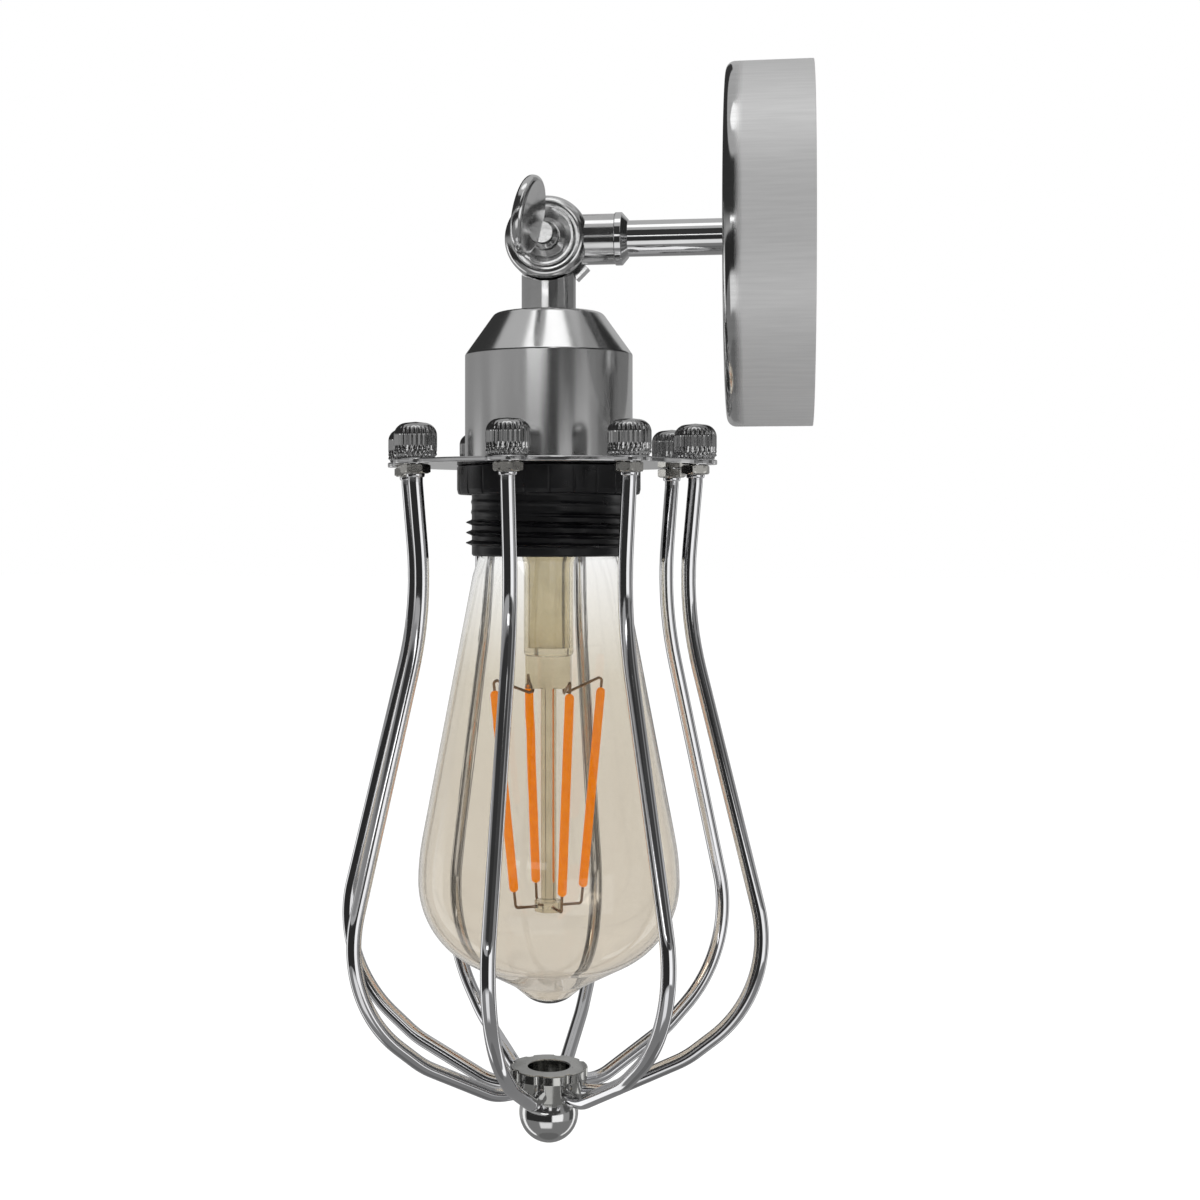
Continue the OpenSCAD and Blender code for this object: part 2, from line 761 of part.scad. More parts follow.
module screw_shell() {
    color("goldenrod")
        at_pivot()
            turned([[shell_r - shell_wall, insert_end - shell_h, 0], [shell_r, insert_end - shell_h, 0],
                    [shell_r, insert_end, 0], [shell_r - shell_flange, insert_end, 0],
                    [shell_r - shell_flange, insert_end - shell_wall, 0],
                    [shell_r - shell_wall, insert_end - shell_wall, 0]]);
}

module centre_contact() {
    color("gold")
        at_pivot() translate([-contact_w / 2, -contact_len / 2, insert_end - contact_t])
            cube([contact_w, contact_len, contact_t]);
}

module holder_screws() {
    color("lightgray")
        at_pivot()
            for (side = [-1, 1])
                translate([side * holder_screw_r, 0, insert_end + end_gap]) {
                    cylinder(d = holder_screw_d, h = insert_t - end_gap);
                    translate([0, 0, insert_t - end_gap]) cylinder(d = holder_head_d, h = holder_head_h);
                }
}

module head_wires() {
    color("saddlebrown")
        at_pivot()
            for (side = [-1, 1])
                bent_rod([[[side * wire_apart, 0, nipple_top + end_gap], 0],
                          [[side * wire_apart, 0, nipple_end - wire_d], wire_bend_r],
                          [[side * holder_screw_r, wire_side, insert_end + insert_t + wire_d], wire_bend_r],
                          [[side * holder_screw_r, wire_side, insert_end + end_gap], 0]], wire_d);
}

module holder_skirt() {
    ridges = floor((skirt_h - thread_run - skirt_hem_h) / thread_pitch);
    root_r = skirt_r - 0.5;
    color("#141416")
        at_pivot()
            difference() {
                union() {
                    turned([[0, insert_end, 0], [0, skirt_end, 0], [skirt_r, skirt_end, 0.5],
                            [skirt_r, plate_end, 0], [skirt_neck_r, plate_end, 0],
                            [skirt_neck_r, insert_end, 0]]);
                    for (i = [0:ridges - 1])
                        translate([0, 0, plate_end - thread_run - (i + 0.5) * thread_pitch])
                            turned([[root_r, -0.38 * thread_pitch, 0], [crest_r, -0.06 * thread_pitch, 0],
                                    [crest_r, 0.06 * thread_pitch, 0], [root_r, 0.38 * thread_pitch, 0]]);
                }
                // the neck above the plate, and the wider mouth below it
                translate([0, 0, plate_end]) cylinder(r = bore_r, h = skirt_h);
                turned([[0, plate_end + over, 0], [0, skirt_end - over, 0],
                        [throat_r + mouth_gap, skirt_end - over, 0], [throat_r + mouth_gap, skirt_end, 0],
                        [skirt_r - skirt_wall, skirt_end + 1.5, 0],
                        [skirt_r - skirt_wall, plate_end - 3, 0],
                        [bore_r, plate_end, 0], [bore_r, plate_end + over, 0]]);
            }
}

module shade_ring() {
    color("#141416")
        at_pivot()
            difference() {
                turned([[crest_r + fit, plate_end - ring_h, 0], [ring_r - 0.3, plate_end - ring_h, 0.5],
                        [ring_r, plate_end - ring_h + 1.2, 0], [ring_r, plate_end - face_gap, 0.3],
                        [crest_r + fit, plate_end - face_gap, 0]]);
                for (i = [0:grooves - 1])
                    rotate([0, 0, (i + 0.5) * 360 / grooves])
                        translate([ring_r + 0.15, 0, plate_end - ring_h - over])
                            cylinder(r = groove_r, h = ring_h - 0.8);
            }
}

// ---- Cage ----

module cage_plate() {
    color("silver")
        difference() {
            union() {
                at_pivot() translate([0, 0, plate_end]) cylinder(r = plate_edge_r, h = plate_t);
                at_rods() translate([screw_circle_r, 0, plate_end]) cylinder(r = lobe_r, h = plate_t);
            }
            at_pivot() translate([0, 0, plate_end - over])
                cylinder(r = skirt_neck_r + seat, h = plate_t + 2 * over);
            at_rods()
                translate([screw_circle_r, 0, plate_end - over])
                    cylinder(d = stud_d + 2 * fit, h = plate_t + 2 * over);
        }
}

module hex_nuts() {
    color("gray")
        at_rods()
            translate([screw_circle_r, 0, rod_top])
                difference() {
                    cylinder(r = hex_r, h = hex_h - face_gap, $fn = 6);
                    translate([0, 0, -over]) cylinder(d = stud_d + 2 * seat, h = hex_h + 2 * over);
                }
}

// Rod i, bent to the outline of the cage, with its stud at the top
module rod(i) {
    color("gray")
        at_rod(i) {
            bent_rod([[[screw_circle_r, 0, rod_top], 0],
                      [[screw_circle_r, 0, rod_top - rod_neck_h], top_bend_r],
                      [[screw_circle_r - waist_in, 0, waist_z], waist_bend_r],
                      [[belly_r, 0, belly_z], belly_bend_r],
                      [[foot_r, 0, foot_z], foot_bend_r],
                      [[heel_r, 0, rod_foot_z], heel_bend_r],
                      [[rod_end_r, 0, rod_foot_z], 0]], rod_d);
            translate([screw_circle_r, 0, rod_top - rod_collar_h / 2])
                cylinder(d = stud_d, h = stud_top - rod_top + rod_collar_h / 2);
            translate([screw_circle_r, 0, rod_top - rod_collar_h])
                cylinder(d = rod_collar_d, h = rod_collar_h);
        }
}

// Domed thumb nut of rod i, with straight flutes and a blind hole for the stud
module thumb_nut(i) {
    r = thumb_nut_d / 2;
    color("#4a4a4e")
        at_rod(i) translate([screw_circle_r, 0, plate_top])
            difference() {
                intersection() {
                    turned([[0, face_gap, 0], [r - 0.5, face_gap, 0], [r, 1.1, 0],
                            [r, thumb_nut_h - 0.6, nut_dome_r], [0, thumb_nut_h, 0]]);
                    linear_extrude(thumb_nut_h + over)
                        polygon([for (k = [0:2 * flutes - 1])
                            (k % 2 == 0 ? r + hair : r - flute_depth)
                            * [cos(180 * k / flutes), sin(180 * k / flutes)]]);
                }
                translate([0, 0, -over])
                    cylinder(d = stud_d + 2 * fit, h = stud_top - plate_top + end_gap + over);
            }
}

module cage_hub() {
    color("gray")
        difference() {
            at_pivot()
                turned([[hub_bore_d / 2, hub_end, 0], [hub_d / 2 - hub_taper, hub_end, 0.4],
                        [hub_d / 2, hub_top - hub_rim_h, 0], [hub_d / 2, hub_top, 0.5],
                        [hub_bore_d / 2, hub_top, 0.3]]);
            at_rods() {
                translate([rod_end_r, 0, rod_foot_z])
                    along_pivot() cylinder(d = rod_d + 2 * seat, h = hub_d);
                translate([hub_d / 2 + 0.35, 0, hub_end - over])
                    cylinder(r = hub_flute_r, h = hub_h + 2 * over);
            }
        }
}

module ball_finial() {
    color("gray")
        at_pivot() {
            intersection() {
                translate([0, 0, hub_end - ball_drop]) sphere(d = ball_d);
                translate([0, 0, hub_end - 2 * ball_d]) cylinder(d = 2 * ball_d, h = 2 * ball_d);
            }
            translate([0, 0, hub_end - over]) cylinder(d = hub_bore_d - 2 * seat, h = ball_stud_h + over);
        }
}

// ---- Bulb ----

// Outline of the bulb's glass, drawn in by inset; closed along the axis
function bulb_outline(inset) = [
    [0, cap_end + glass_in_cap - inset, 0],
    [glass_neck_r - inset, cap_end + glass_in_cap - inset, 0],
    [glass_neck_r - inset, cap_end - 0.6, 2],
    [throat_r - inset, skirt_end + 0.6, 5],
    [bulb_r - inset - (shoulder_z - bulb_wide_z) * tan(cone_lean), shoulder_z, 14],
    [bulb_r - inset, bulb_wide_z + (cone_arc_r - inset) * tan(cone_lean / 2), cone_arc_r - inset],
    [bulb_r - inset, bulb_wide_z - (belly_arc_r - inset) * tan(tip_lean / 2), belly_arc_r - inset],
    [nub_r, bulb_tip + nub_h + inset, nub_throat_r + inset],
    [nub_flat_r, bulb_tip + inset, nub_arc_r - inset],
    [0, bulb_tip + inset, 0]];

module bulb_glass() {
    color([0.85, 0.78, 0.62, 0.35])
        at_pivot()
            difference() {
                turned(bulb_outline(0));
                turned(bulb_outline(glass_wall));
                translate([0, 0, cap_end]) cylinder(r = glass_neck_r - glass_wall, h = glass_in_cap + over);
            }
}

module bulb_cap() {
    root_r = cap_d / 2 - cap_thread;
    thread_top = bulb_contact_z - cap_insulator_h;
    color("lightgray")
        at_pivot()
            difference() {
                union() {
                    turned([[0, thread_top, 0], [0, cap_end, 0], [cap_d / 2, cap_end, 0],
                            [cap_d / 2, cap_end + cap_rim_h, 0.5], [root_r, cap_end + cap_rim_h, 0],
                            [root_r, thread_top, 0.8]]);
                    for (z = [cap_end + cap_rim_h + cap_pitch / 2 : cap_pitch : thread_top - cap_pitch / 2])
                        translate([0, 0, z])
                            turned([[root_r - 0.4, -1.5, 0], [cap_d / 2, -0.6, 0.5], [cap_d / 2, 0.6, 0.5],
                                    [root_r - 0.4, 1.5, 0]]);
                }
                translate([0, 0, cap_end - over])
                    cylinder(r = glass_neck_r + seat, h = glass_in_cap + seat + over);
                translate([0, 0, cap_end - over])
                    cylinder(r = root_r - cap_wall, h = thread_top - cap_end - cap_wall + over);
            }
}

module bulb_contact() {
    color("#26262a")
        at_pivot()
            turned([[0, bulb_contact_z - cap_insulator_h, 0],
                    [insulator_r, bulb_contact_z - cap_insulator_h, 0],
                    [cap_tip_r + 0.5, bulb_contact_z - 1, 0], [cap_tip_r, bulb_contact_z - 1, 0],
                    [cap_tip_r, bulb_contact_z, 0.6], [0, bulb_contact_z, 0]]);
}

module bulb_stem() {
    flange_r = glass_neck_r - glass_wall;
    glass_top = cap_end + glass_in_cap;
    color([0.9, 0.9, 0.88, 0.5])
        at_pivot() {
            difference() {
                turned([[0, glass_top, 0], [0, pinch_z, 0], [flare_r, pinch_z, 1], [flare_r, cap_end - 6, 6],
                        [flange_r - seat, cap_end - 0.4, 0], [flange_r - seat, glass_top, 0]]);
                turned([[0, glass_top + over, 0], [0, pinch_z + 2, 0], [flare_r - 1, pinch_z + 2, 0],
                        [flare_r - 1, cap_end - 6, 6], [flange_r - 1.2, cap_end, 0],
                        [flange_r - 1.2, glass_top + over, 0]]);
            }
            translate([-pinch_t / 2, 0.6 - flare_r, pinch_end])
                cube([pinch_t, 2 * (flare_r - 0.6), pinch_h + 0.5]);
            translate([0, 0, cross_z]) cylinder(d = centre_rod_d, h = pinch_end - cross_z + 0.5);
            difference() {
                translate([0, 0, cross_z - button_h / 2]) cylinder(r = button_r, h = button_h);
                for (k = [0:filaments - 1])
                    rotate([0, 0, filament_phase + filament_step * k])
                        translate([button_r - button_grip, 0, cross_z])
                            along_pivot() cylinder(d = support_d + 2 * seat, h = button_r);
            }
        }
}

// The point at height h on the axis of the filament that stands at angle a
function on_filament(a, h) =
    let (r = filament_foot_r + h * sin(filament_lean))
    [r * cos(a), r * sin(a), filament_foot + h * cos(filament_lean)];

// Two wires to each filament: one from the pinch to its top, and one from the button to its foot
module bulb_supports() {
    top_hook = filament_len + support_stub;
    foot_hook = (filament_foot - cross_z) / cos(filament_lean);
    color("#7a5a3a")
        at_pivot()
            for (k = [0:filaments - 1]) {
                a = filament_phase + filament_step * k;
                lead = [lead_x * sign(cos(a)), lead_y * sign(sin(a)), pinch_end];
                bent_rod([[lead, 0], [lead - [0, 0, 1.3], support_bend_r],
                          [on_filament(a, top_hook), support_bend_r], [on_filament(a, filament_len), 0]],
                         support_d);
                in_button = (button_r - button_grip) * [cos(a), sin(a)];
                bent_rod([[on_filament(a, 0), 0], [on_filament(a, -foot_hook), support_bend_r],
                          [[in_button[0], in_button[1], cross_z], 0]], support_d);
            }
}

module bulb_filaments() {
    color("orange")
        at_pivot()
            for (k = [0:filaments - 1])
                rotate([0, 0, filament_phase + filament_step * k])
                    translate([filament_foot_r, 0, filament_foot])
                        rotate([0, filament_lean, 0]) cylinder(d = filament_d, h = filament_len);
}

rose_cover();
wall_strap();
grub_screws();
stem_nut();
stem_washer();
terminal_block();
terminal_tubes();
terminal_screws();
earth_screw();
stem_wires();
stem_tube();
stem_ring();
knuckle_fixed();
knuckle_tilting();
dished_washer();
thumb_screw();
cup();
nipple();
nipple_nut();
holder_dome();
holder_insert();
screw_shell();
centre_contact();
holder_screws();
head_wires();
holder_skirt();
shade_ring();
cage_plate();
hex_nuts();
cage_hub();
ball_finial();
bulb_glass();
bulb_cap();
bulb_contact();
bulb_stem();
bulb_supports();
bulb_filaments();
for (i = [1:rods]) {
    rod(i);
    thumb_nut(i);
}
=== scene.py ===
import math

import bmesh
import bpy
from mathutils import Matrix, Vector


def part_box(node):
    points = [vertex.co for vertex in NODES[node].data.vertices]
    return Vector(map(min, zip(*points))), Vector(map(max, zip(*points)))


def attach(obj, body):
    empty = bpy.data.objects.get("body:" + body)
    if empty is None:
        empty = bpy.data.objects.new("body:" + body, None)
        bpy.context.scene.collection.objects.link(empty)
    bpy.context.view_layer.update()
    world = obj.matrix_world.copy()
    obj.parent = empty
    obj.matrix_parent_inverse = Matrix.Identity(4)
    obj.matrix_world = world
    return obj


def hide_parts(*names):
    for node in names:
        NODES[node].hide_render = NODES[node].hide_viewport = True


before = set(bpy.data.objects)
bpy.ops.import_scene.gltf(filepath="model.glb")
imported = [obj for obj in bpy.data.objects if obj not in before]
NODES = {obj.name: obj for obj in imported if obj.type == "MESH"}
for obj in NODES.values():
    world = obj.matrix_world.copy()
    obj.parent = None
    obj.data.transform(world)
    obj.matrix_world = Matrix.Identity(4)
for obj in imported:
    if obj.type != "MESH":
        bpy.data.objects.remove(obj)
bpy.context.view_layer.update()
MM = 0.001
TAU = 2 * math.pi

# ---- Sizes, in mm. The wall is the plane Y = 0, the lamp reaches out along -Y, and +Z is up. Heights in the
# head are measured from the knuckle's pivot ----

REACH = 64.0                    # from the wall to the pivot
RISE = 500 * (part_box("stem_tube")[0][2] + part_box("stem_tube")[1][2])    # the stem's height over the rose's centre
SEAT = 0.02                     # clearance between pieces that rest on each other

ROSE_R, ROSE_DEPTH, ROSE_WALL, ROSE_EDGE, ROSE_LIP = 43.5, 20.5, 1.2, 2.2, 0.15
STEM_R, STEM_BORE_R, STEM_START, STEM_STOP = 4.4, 3.0, 12.8, 53.2
STEM_HOLE_R, HOLE_FIELD_R = STEM_R + 0.06, 12.0     # the hole in the rose, and how far round it the mesh follows it
COLLAR_R, COLLAR_START, COLLAR_CONE, COLLAR_STOP = 6.45, 16.42, 18.1, 19.58         # the ring on the stem

CUP_TOP, CUP_END, CUP_R, CUP_TOP_R, CUP_SHOULDER = -17.9, -54.2, 20.55, 13.2, 10.3
CUP_WALL, CUP_HOLE_R = 1.0, 4.95
PLATE_TOP, PLATE_END = -54.2, -55.4
SKIRT_R, SKIRT_NECK_R, SKIRT_END, CREST_R = 18.9, 17.0, -77.4, 20.4
SKIRT_BORE_R, SKIRT_NECK_BORE_R, SKIRT_TOP = 17.4, 15.5, -46.2
PITCH, THREAD_DEPTH, THREAD_START = 2.5, 1.46, -67.0
PLAIN_TOP, PLAIN_FOOT = PLATE_END - 0.9, SKIRT_END + 1.2                            # the skirt without a thread
RING_R, RING_H, RING_GROOVES, GROOVE_DEPTH = 22.5, 7.0, 24, 0.2

RODS, ROD_R, SCREW_R, PHASE = 8, 1.75, 36.38, -7.5  # PHASE: the first rod's turn round the axis, in degrees
SECTOR = 360 / RODS
LOBE_R, DISC_R, PLATE_WALK_R = 5.2, 38.18, 30       # the plate's lobes, its disc, and where its outline begins
PLATE_R = SCREW_R + LOBE_R
NUT_BORE_R, NUT_R, NUT_H, FLUTES, FLUTE_DEPTH = 1.6, 5.1, 8.7, 28, 0.34
BAND_TOP, BAND_DEPTH, BAND_SLOPE = 2.6, 0.36, 3.2   # the crossed band at a thumb nut's foot
HEX_BORE_R, HEX_R, HEX_FLAT, HEX_H, HEX_CHAMFER = 1.57, 3.58, 3.1, 2.2, 0.32
ROD_TOP = PLATE_END - HEX_H - 0.1
STUD_R, STUD_H, STUD_COLLAR_R, STUD_COLLAR_H = 1.55, 8, 2.25, 0.9
HUB_TOP, HUB_END, HUB_R, HUB_BORE_R, HUB_FLUTE = -202.55, -209.85, 9.55, 5.1, 0.75
ROD_FOOT = HUB_END + ROD_R + 0.4
BALL_R, BALL_Z = 7.25, HUB_END - 4.0
BALL_PEG_R, BALL_PEG_H = 5.06, 3

BULB_TIP, BULB_R, CAP_END, GLASS_WALL = -186.95, 32.0, -71.95, 0.8
CONE, TIP, NUB = math.radians(10.1), math.radians(62), math.radians(50)             # leans of the bulb's sides
NUB_R, NUB_H = 8.8, 4.5
BELLY_R, CONE_R = 22, 59                            # bend radii below and above the widest place
WIDE_Z = BULB_TIP + NUB_H + (BULB_R - NUB_R) / math.tan(TIP) + BELLY_R * math.tan(TIP / 2)
FILAMENT_FOOT, FILAMENT_LEN, FILAMENT_R, FILAMENT_PHASE = BULB_TIP + 27.6, 49.5, 1.1, 28
FILAMENT_TOP_R, FILAMENT_FOOT_R, FILAMENTS = 14.0, 9.0, 4

# ---- Camera: the photograph's viewing angle, level, from the thumb screw's side ----

CAM_TURN = math.radians(8.5)
CAM_DROP, CAM_SHIFT, CAM_DISTANCE = 70.4, 10.1, 442                                 # from the pivot, in mm
to_cam = Vector((math.cos(CAM_TURN), math.sin(CAM_TURN), 0))
to_right = Vector((-math.sin(CAM_TURN), math.cos(CAM_TURN), 0))
cam_data = bpy.data.cameras.new("camera")
camera = bpy.data.objects.new("camera", cam_data)
bpy.context.scene.collection.objects.link(camera)
bpy.context.scene.camera = camera
camera.location = MM * (Vector((0, -REACH, RISE - CAM_DROP)) - to_right * CAM_SHIFT + to_cam * CAM_DISTANCE)
camera.rotation_euler = to_cam.to_track_quat("Z", "Y").to_euler()
cam_data.sensor_width = 36
cam_data.lens = 54
cam_data.shift_x = 0.077
cam_data.shift_y = -0.0606
cam_data.clip_start, cam_data.clip_end = 0.01, 50


# ---- Mesh tools ----

TINY = 1e-9
MERGE = 0.002                   # points of an outline nearer than this are one
GUARD = 0.04                    # distance of a guard point from the end of its straight


def put(name, verts, faces, material, body, sharp=35, replaces=(), matrix=None):
    """Makes a piece from points in mm in the local frame that matrix places, smooth but for its sharp edges."""
    mesh = bpy.data.meshes.new(name)
    mesh.from_pydata([Vector(v) for v in verts], [], faces)
    if matrix is not None:
        mesh.transform(matrix)
    mesh.transform(Matrix.Scale(MM, 4))
    bm = bmesh.new()
    bm.from_mesh(mesh)
    bmesh.ops.remove_doubles(bm, verts=bm.verts, dist=1e-7)
    bmesh.ops.recalc_face_normals(bm, faces=bm.faces)
    bm.to_mesh(mesh)
    bm.free()
    mesh.polygons.foreach_set("use_smooth", [True] * len(mesh.polygons))
    mesh.set_sharp_from_angle(angle=math.radians(sharp))
    obj = bpy.data.objects.new(name, mesh)
    bpy.context.scene.collection.objects.link(obj)
    mesh.materials.append(material)
    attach(obj, body)
    if replaces:
        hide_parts(*replaces)
    return obj


def rounded(outline, step=7.5, closed=True):
    """Points of an outline of [x, y, corner radius], with a point at least every step degrees of a corner."""
    out = []
    n = len(outline)
    for i, (x, y, r) in enumerate(outline):
        b = Vector((x, y))
        if r == 0 or (not closed and i in (0, n - 1)):
            out.append((x, y))
            continue
        a = Vector(outline[i - 1][:2])
        c = Vector(outline[(i + 1) % n][:2])
        u, v = (b - a).normalized(), (c - b).normalized()
        t = math.atan2(u.x * v.y - u.y * v.x, u.dot(v))
        if abs(t) < 1e-6:
            out.append((x, y))
            continue
        cut = r * math.tan(abs(t) / 2)
        start = b - u * cut
        side = 1 if t > 0 else -1
        centre = start + side * r * Vector((-u.y, u.x))
        k = max(2, math.ceil(abs(math.degrees(t)) / step))
        for j in range(k + 1):
            q = t * j / k
            s = start - centre
            out.append((centre.x + s.x * math.cos(q) - s.y * math.sin(q),
                        centre.y + s.x * math.sin(q) + s.y * math.cos(q)))
    return [q for i, q in enumerate(out) if i == 0 or math.dist(q, out[i - 1]) > MERGE]


def spin(profile, segments, shape=None):
    """Vertices and faces of a closed profile of (r, z) turned about Z. shape(angle, r, z) may move each point."""
    verts, faces = [], []
    n = len(profile)
    for j in range(segments):
        t = TAU * j / segments
        for r, z in profile:
            p = shape(t, r, z) if shape else (r, z)
            verts.append((p[0] * math.cos(t), p[0] * math.sin(t), p[1]))
    for j in range(segments):
        j2 = (j + 1) % segments
        for i in range(n):
            i2 = (i + 1) % n
            quad = [j * n + i, j2 * n + i, j2 * n + i2, j * n + i2]
            on_axis = [abs(profile[k][0]) < TINY for k in (i, i2)]
            if all(on_axis):
                continue
            if on_axis[0]:
                quad = [quad[0], quad[2], quad[3]]
            elif on_axis[1]:
                quad = quad[:3]
            faces.append(quad)
    return verts, faces


def finer(profile, length):
    """The same closed profile with extra points on its long straights."""
    out = []
    for i, p in enumerate(profile):
        q = profile[(i + 1) % len(profile)]
        out.append(p)
        k = int(math.dist(p, q) / length)
        out += [(p[0] + (q[0] - p[0]) * j / (k + 1), p[1] + (q[1] - p[1]) * j / (k + 1))
                for j in range(1, k + 1)]
    return out


def guarded(profile):
    """The same closed profile with a point close to each end of its long straights, which keeps them flat."""
    out = []
    for i, p in enumerate(profile):
        q = profile[(i + 1) % len(profile)]
        d = math.dist(p, q)
        out.append(p)
        if d > 0.5 and not (p[0] == q[0] == 0):
            out += [(p[0] + (q[0] - p[0]) * f, p[1] + (q[1] - p[1]) * f) for f in (GUARD / d, 1 - GUARD / d)]
    return out


def lathe(name, outline, material, body, segments=128, matrix=None, replaces=(), sharp=35, shape=None, fine=None):
    """A turned piece from an outline of [r, z, corner radius]; fine is the longest straight between its points."""
    profile = guarded(rounded(outline))
    if fine:
        profile = finer(profile, fine)
    verts, faces = spin(profile, segments, shape)
    return put(name, verts, faces, material, body, sharp, replaces, matrix)


def bent_path(corners, step=2.0):
    """Smooth points along [[x, y, z], bend radius] corners."""
    pts = []
    n = len(corners)
    for i, (p, r) in enumerate(corners):
        b = Vector(p)
        if i in (0, n - 1):
            pts.append(b)
            continue
        a, c = Vector(corners[i - 1][0]), Vector(corners[i + 1][0])
        u, v = (b - a).normalized(), (c - b).normalized()
        t = u.angle(v)
        cut = r * math.tan(t / 2)
        start = b - u * cut
        axis = u.cross(v).normalized()
        centre = start + axis.cross(u) * r
        k = max(2, math.ceil(math.degrees(t) / step))
        for j in range(k + 1):
            pts.append(centre + Matrix.Rotation(t * j / k, 3, axis) @ (start - centre))
    return pts


def tube(points, radius, sides):
    """Vertices and faces of a tube along points, closed at both ends."""
    verts, faces = [], []
    n = len(points)
    normal = None
    for i, p in enumerate(points):
        d = (points[min(i + 1, n - 1)] - points[max(i - 1, 0)]).normalized()
        if normal is None:
            normal = d.orthogonal().normalized()
        normal = (normal - d * normal.dot(d)).normalized()
        other = d.cross(normal)
        for j in range(sides):
            t = TAU * j / sides
            verts.append(p + (normal * math.cos(t) + other * math.sin(t)) * radius)
    for i in range(n - 1):
        for j in range(sides):
            j2 = (j + 1) % sides
            faces.append([i * sides + j, i * sides + j2, (i + 1) * sides + j2, (i + 1) * sides + j])
    faces.append(list(range(sides))[::-1])
    faces.append([(n - 1) * sides + j for j in range(sides)])
    return verts, faces


def join(parts):
    """One list of vertices and faces from several."""
    verts, faces = [], []
    for v, f in parts:
        k = len(verts)
        verts += [Vector(p) for p in v]
        faces += [[i + k for i in face] for face in f]
    return verts, faces


def moved(part, matrix):
    return [matrix @ Vector(v) for v in part[0]], part[1]


PIVOT = Matrix.Translation((0, -REACH, RISE))
FROM_WALL = Matrix.Rotation(math.radians(90), 4, "X")
ALONG_STEM = Matrix.Translation((0, 0, RISE)) @ FROM_WALL
TO_WALL = PIVOT @ Matrix.Rotation(math.radians(-90), 4, "X")


def at_rod(i, r=0.0, z=0.0):
    """The frame of rod i, moved out by r and up by z."""
    return PIVOT @ Matrix.Rotation(math.radians(PHASE + SECTOR * i), 4, "Z") @ Matrix.Translation((r, 0, z))


# ---- Material tools ----

class Paint:
    """A node material with a Principled shader."""

    def __init__(self, name, **values):
        self.material = bpy.data.materials.new(name)
        self.material.use_nodes = True
        self.tree = self.material.node_tree
        self.shader = self.tree.nodes["Principled BSDF"]
        for key, value in values.items():
            self.shader.inputs[key.replace("_", " ")].default_value = value
        self.where = self.add("ShaderNodeTexCoord").outputs["Object"]

    def add(self, kind, **values):
        node = self.tree.nodes.new(kind)
        for key, value in values.items():
            setattr(node, key, value)
        return node

    def link(self, a, b):
        self.tree.links.new(a, b)

    def noise(self, scale, detail=3.0, stretch=(1, 1, 1)):
        mapping = self.add("ShaderNodeMapping")
        mapping.inputs["Scale"].default_value = stretch
        self.link(self.where, mapping.inputs["Vector"])
        node = self.add("ShaderNodeTexNoise")
        node.inputs["Scale"].default_value = scale
        node.inputs["Detail"].default_value = detail
        self.link(mapping.outputs["Vector"], node.inputs["Vector"])
        return node.outputs["Fac"]

    def ramp(self, value, stops):
        node = self.add("ShaderNodeValToRGB")
        el = node.color_ramp.elements
        while len(el) < len(stops):
            el.new(0.5)
        for e, (pos, colour) in zip(el, stops):
            e.position = pos
            e.color = (*colour, 1)
        self.link(value, node.inputs["Fac"])
        return node.outputs["Color"]

    def span(self, value, low, high, from_low=0.0, from_high=1.0):
        node = self.add("ShaderNodeMapRange")
        for key, v in (("From Min", from_low), ("From Max", from_high), ("To Min", low), ("To Max", high)):
            node.inputs[key].default_value = v
        self.link(value, node.inputs["Value"])
        return node.outputs["Result"]

    def colour(self, socket):
        self.link(socket, self.shader.inputs["Base Color"])

    def rough(self, value, low, high):
        """Roughness from low to high over the middle of a noise."""
        self.link(self.span(value, low, high, 0.3, 0.7), self.shader.inputs["Roughness"])

    def bump(self, value, strength, distance=0.0001):
        node = self.add("ShaderNodeBump")
        node.inputs["Strength"].default_value = strength
        node.inputs["Distance"].default_value = distance
        self.link(value, node.inputs["Height"])
        self.link(node.outputs["Normal"], self.shader.inputs["Normal"])
        return self

    def place(self, axis):
        """One coordinate, in metres, in the part's frame."""
        node = self.add("ShaderNodeSeparateXYZ")
        self.link(self.where, node.inputs["Vector"])
        return node.outputs[axis]


def metal(name, dark, light, rough, bump=0.04, stretch=(1, 1, 1)):
    """A metal between two colours and two roughnesses, stretched where its grain runs one way."""
    p = Paint(name, Metallic=1.0)
    p.colour(p.ramp(p.noise(60, 4, stretch), [(0.3, dark), (0.7, light)]))
    p.rough(p.noise(220, 4, stretch), *rough)
    return p.bump(p.noise(900, 3, stretch), bump).material


chrome = metal("chrome", (0.72, 0.72, 0.725), (0.80, 0.80, 0.805), (0.03, 0.08))
cup_chrome = metal("cup_chrome", (0.72, 0.72, 0.72), (0.80, 0.80, 0.80), (0.13, 0.19), 0.05, (1, 1, 0.1))
knuckle_chrome = metal("knuckle_chrome", (0.66, 0.66, 0.66), (0.76, 0.76, 0.76), (0.09, 0.2), 0.06)
rod_chrome = metal("rod_chrome", (0.70, 0.70, 0.71), (0.80, 0.80, 0.82), (0.03, 0.07), 0.03)
hub_chrome = metal("hub_chrome", (0.44, 0.44, 0.42), (0.54, 0.54, 0.52), (0.10, 0.18))
ball_chrome = metal("ball_chrome", (0.66, 0.66, 0.66), (0.74, 0.74, 0.74), (0.07, 0.13), 0.03)
gunmetal = metal("gunmetal", (0.46, 0.46, 0.46), (0.62, 0.62, 0.62), (0.05, 0.10))
nut_steel = metal("nut_steel", (0.50, 0.49, 0.46), (0.62, 0.61, 0.58), (0.16, 0.3))
zinc = metal("zinc", (0.55, 0.56, 0.57), (0.68, 0.69, 0.70), (0.25, 0.4))
brass = metal("brass", (0.60, 0.43, 0.17), (0.74, 0.56, 0.26), (0.2, 0.34))
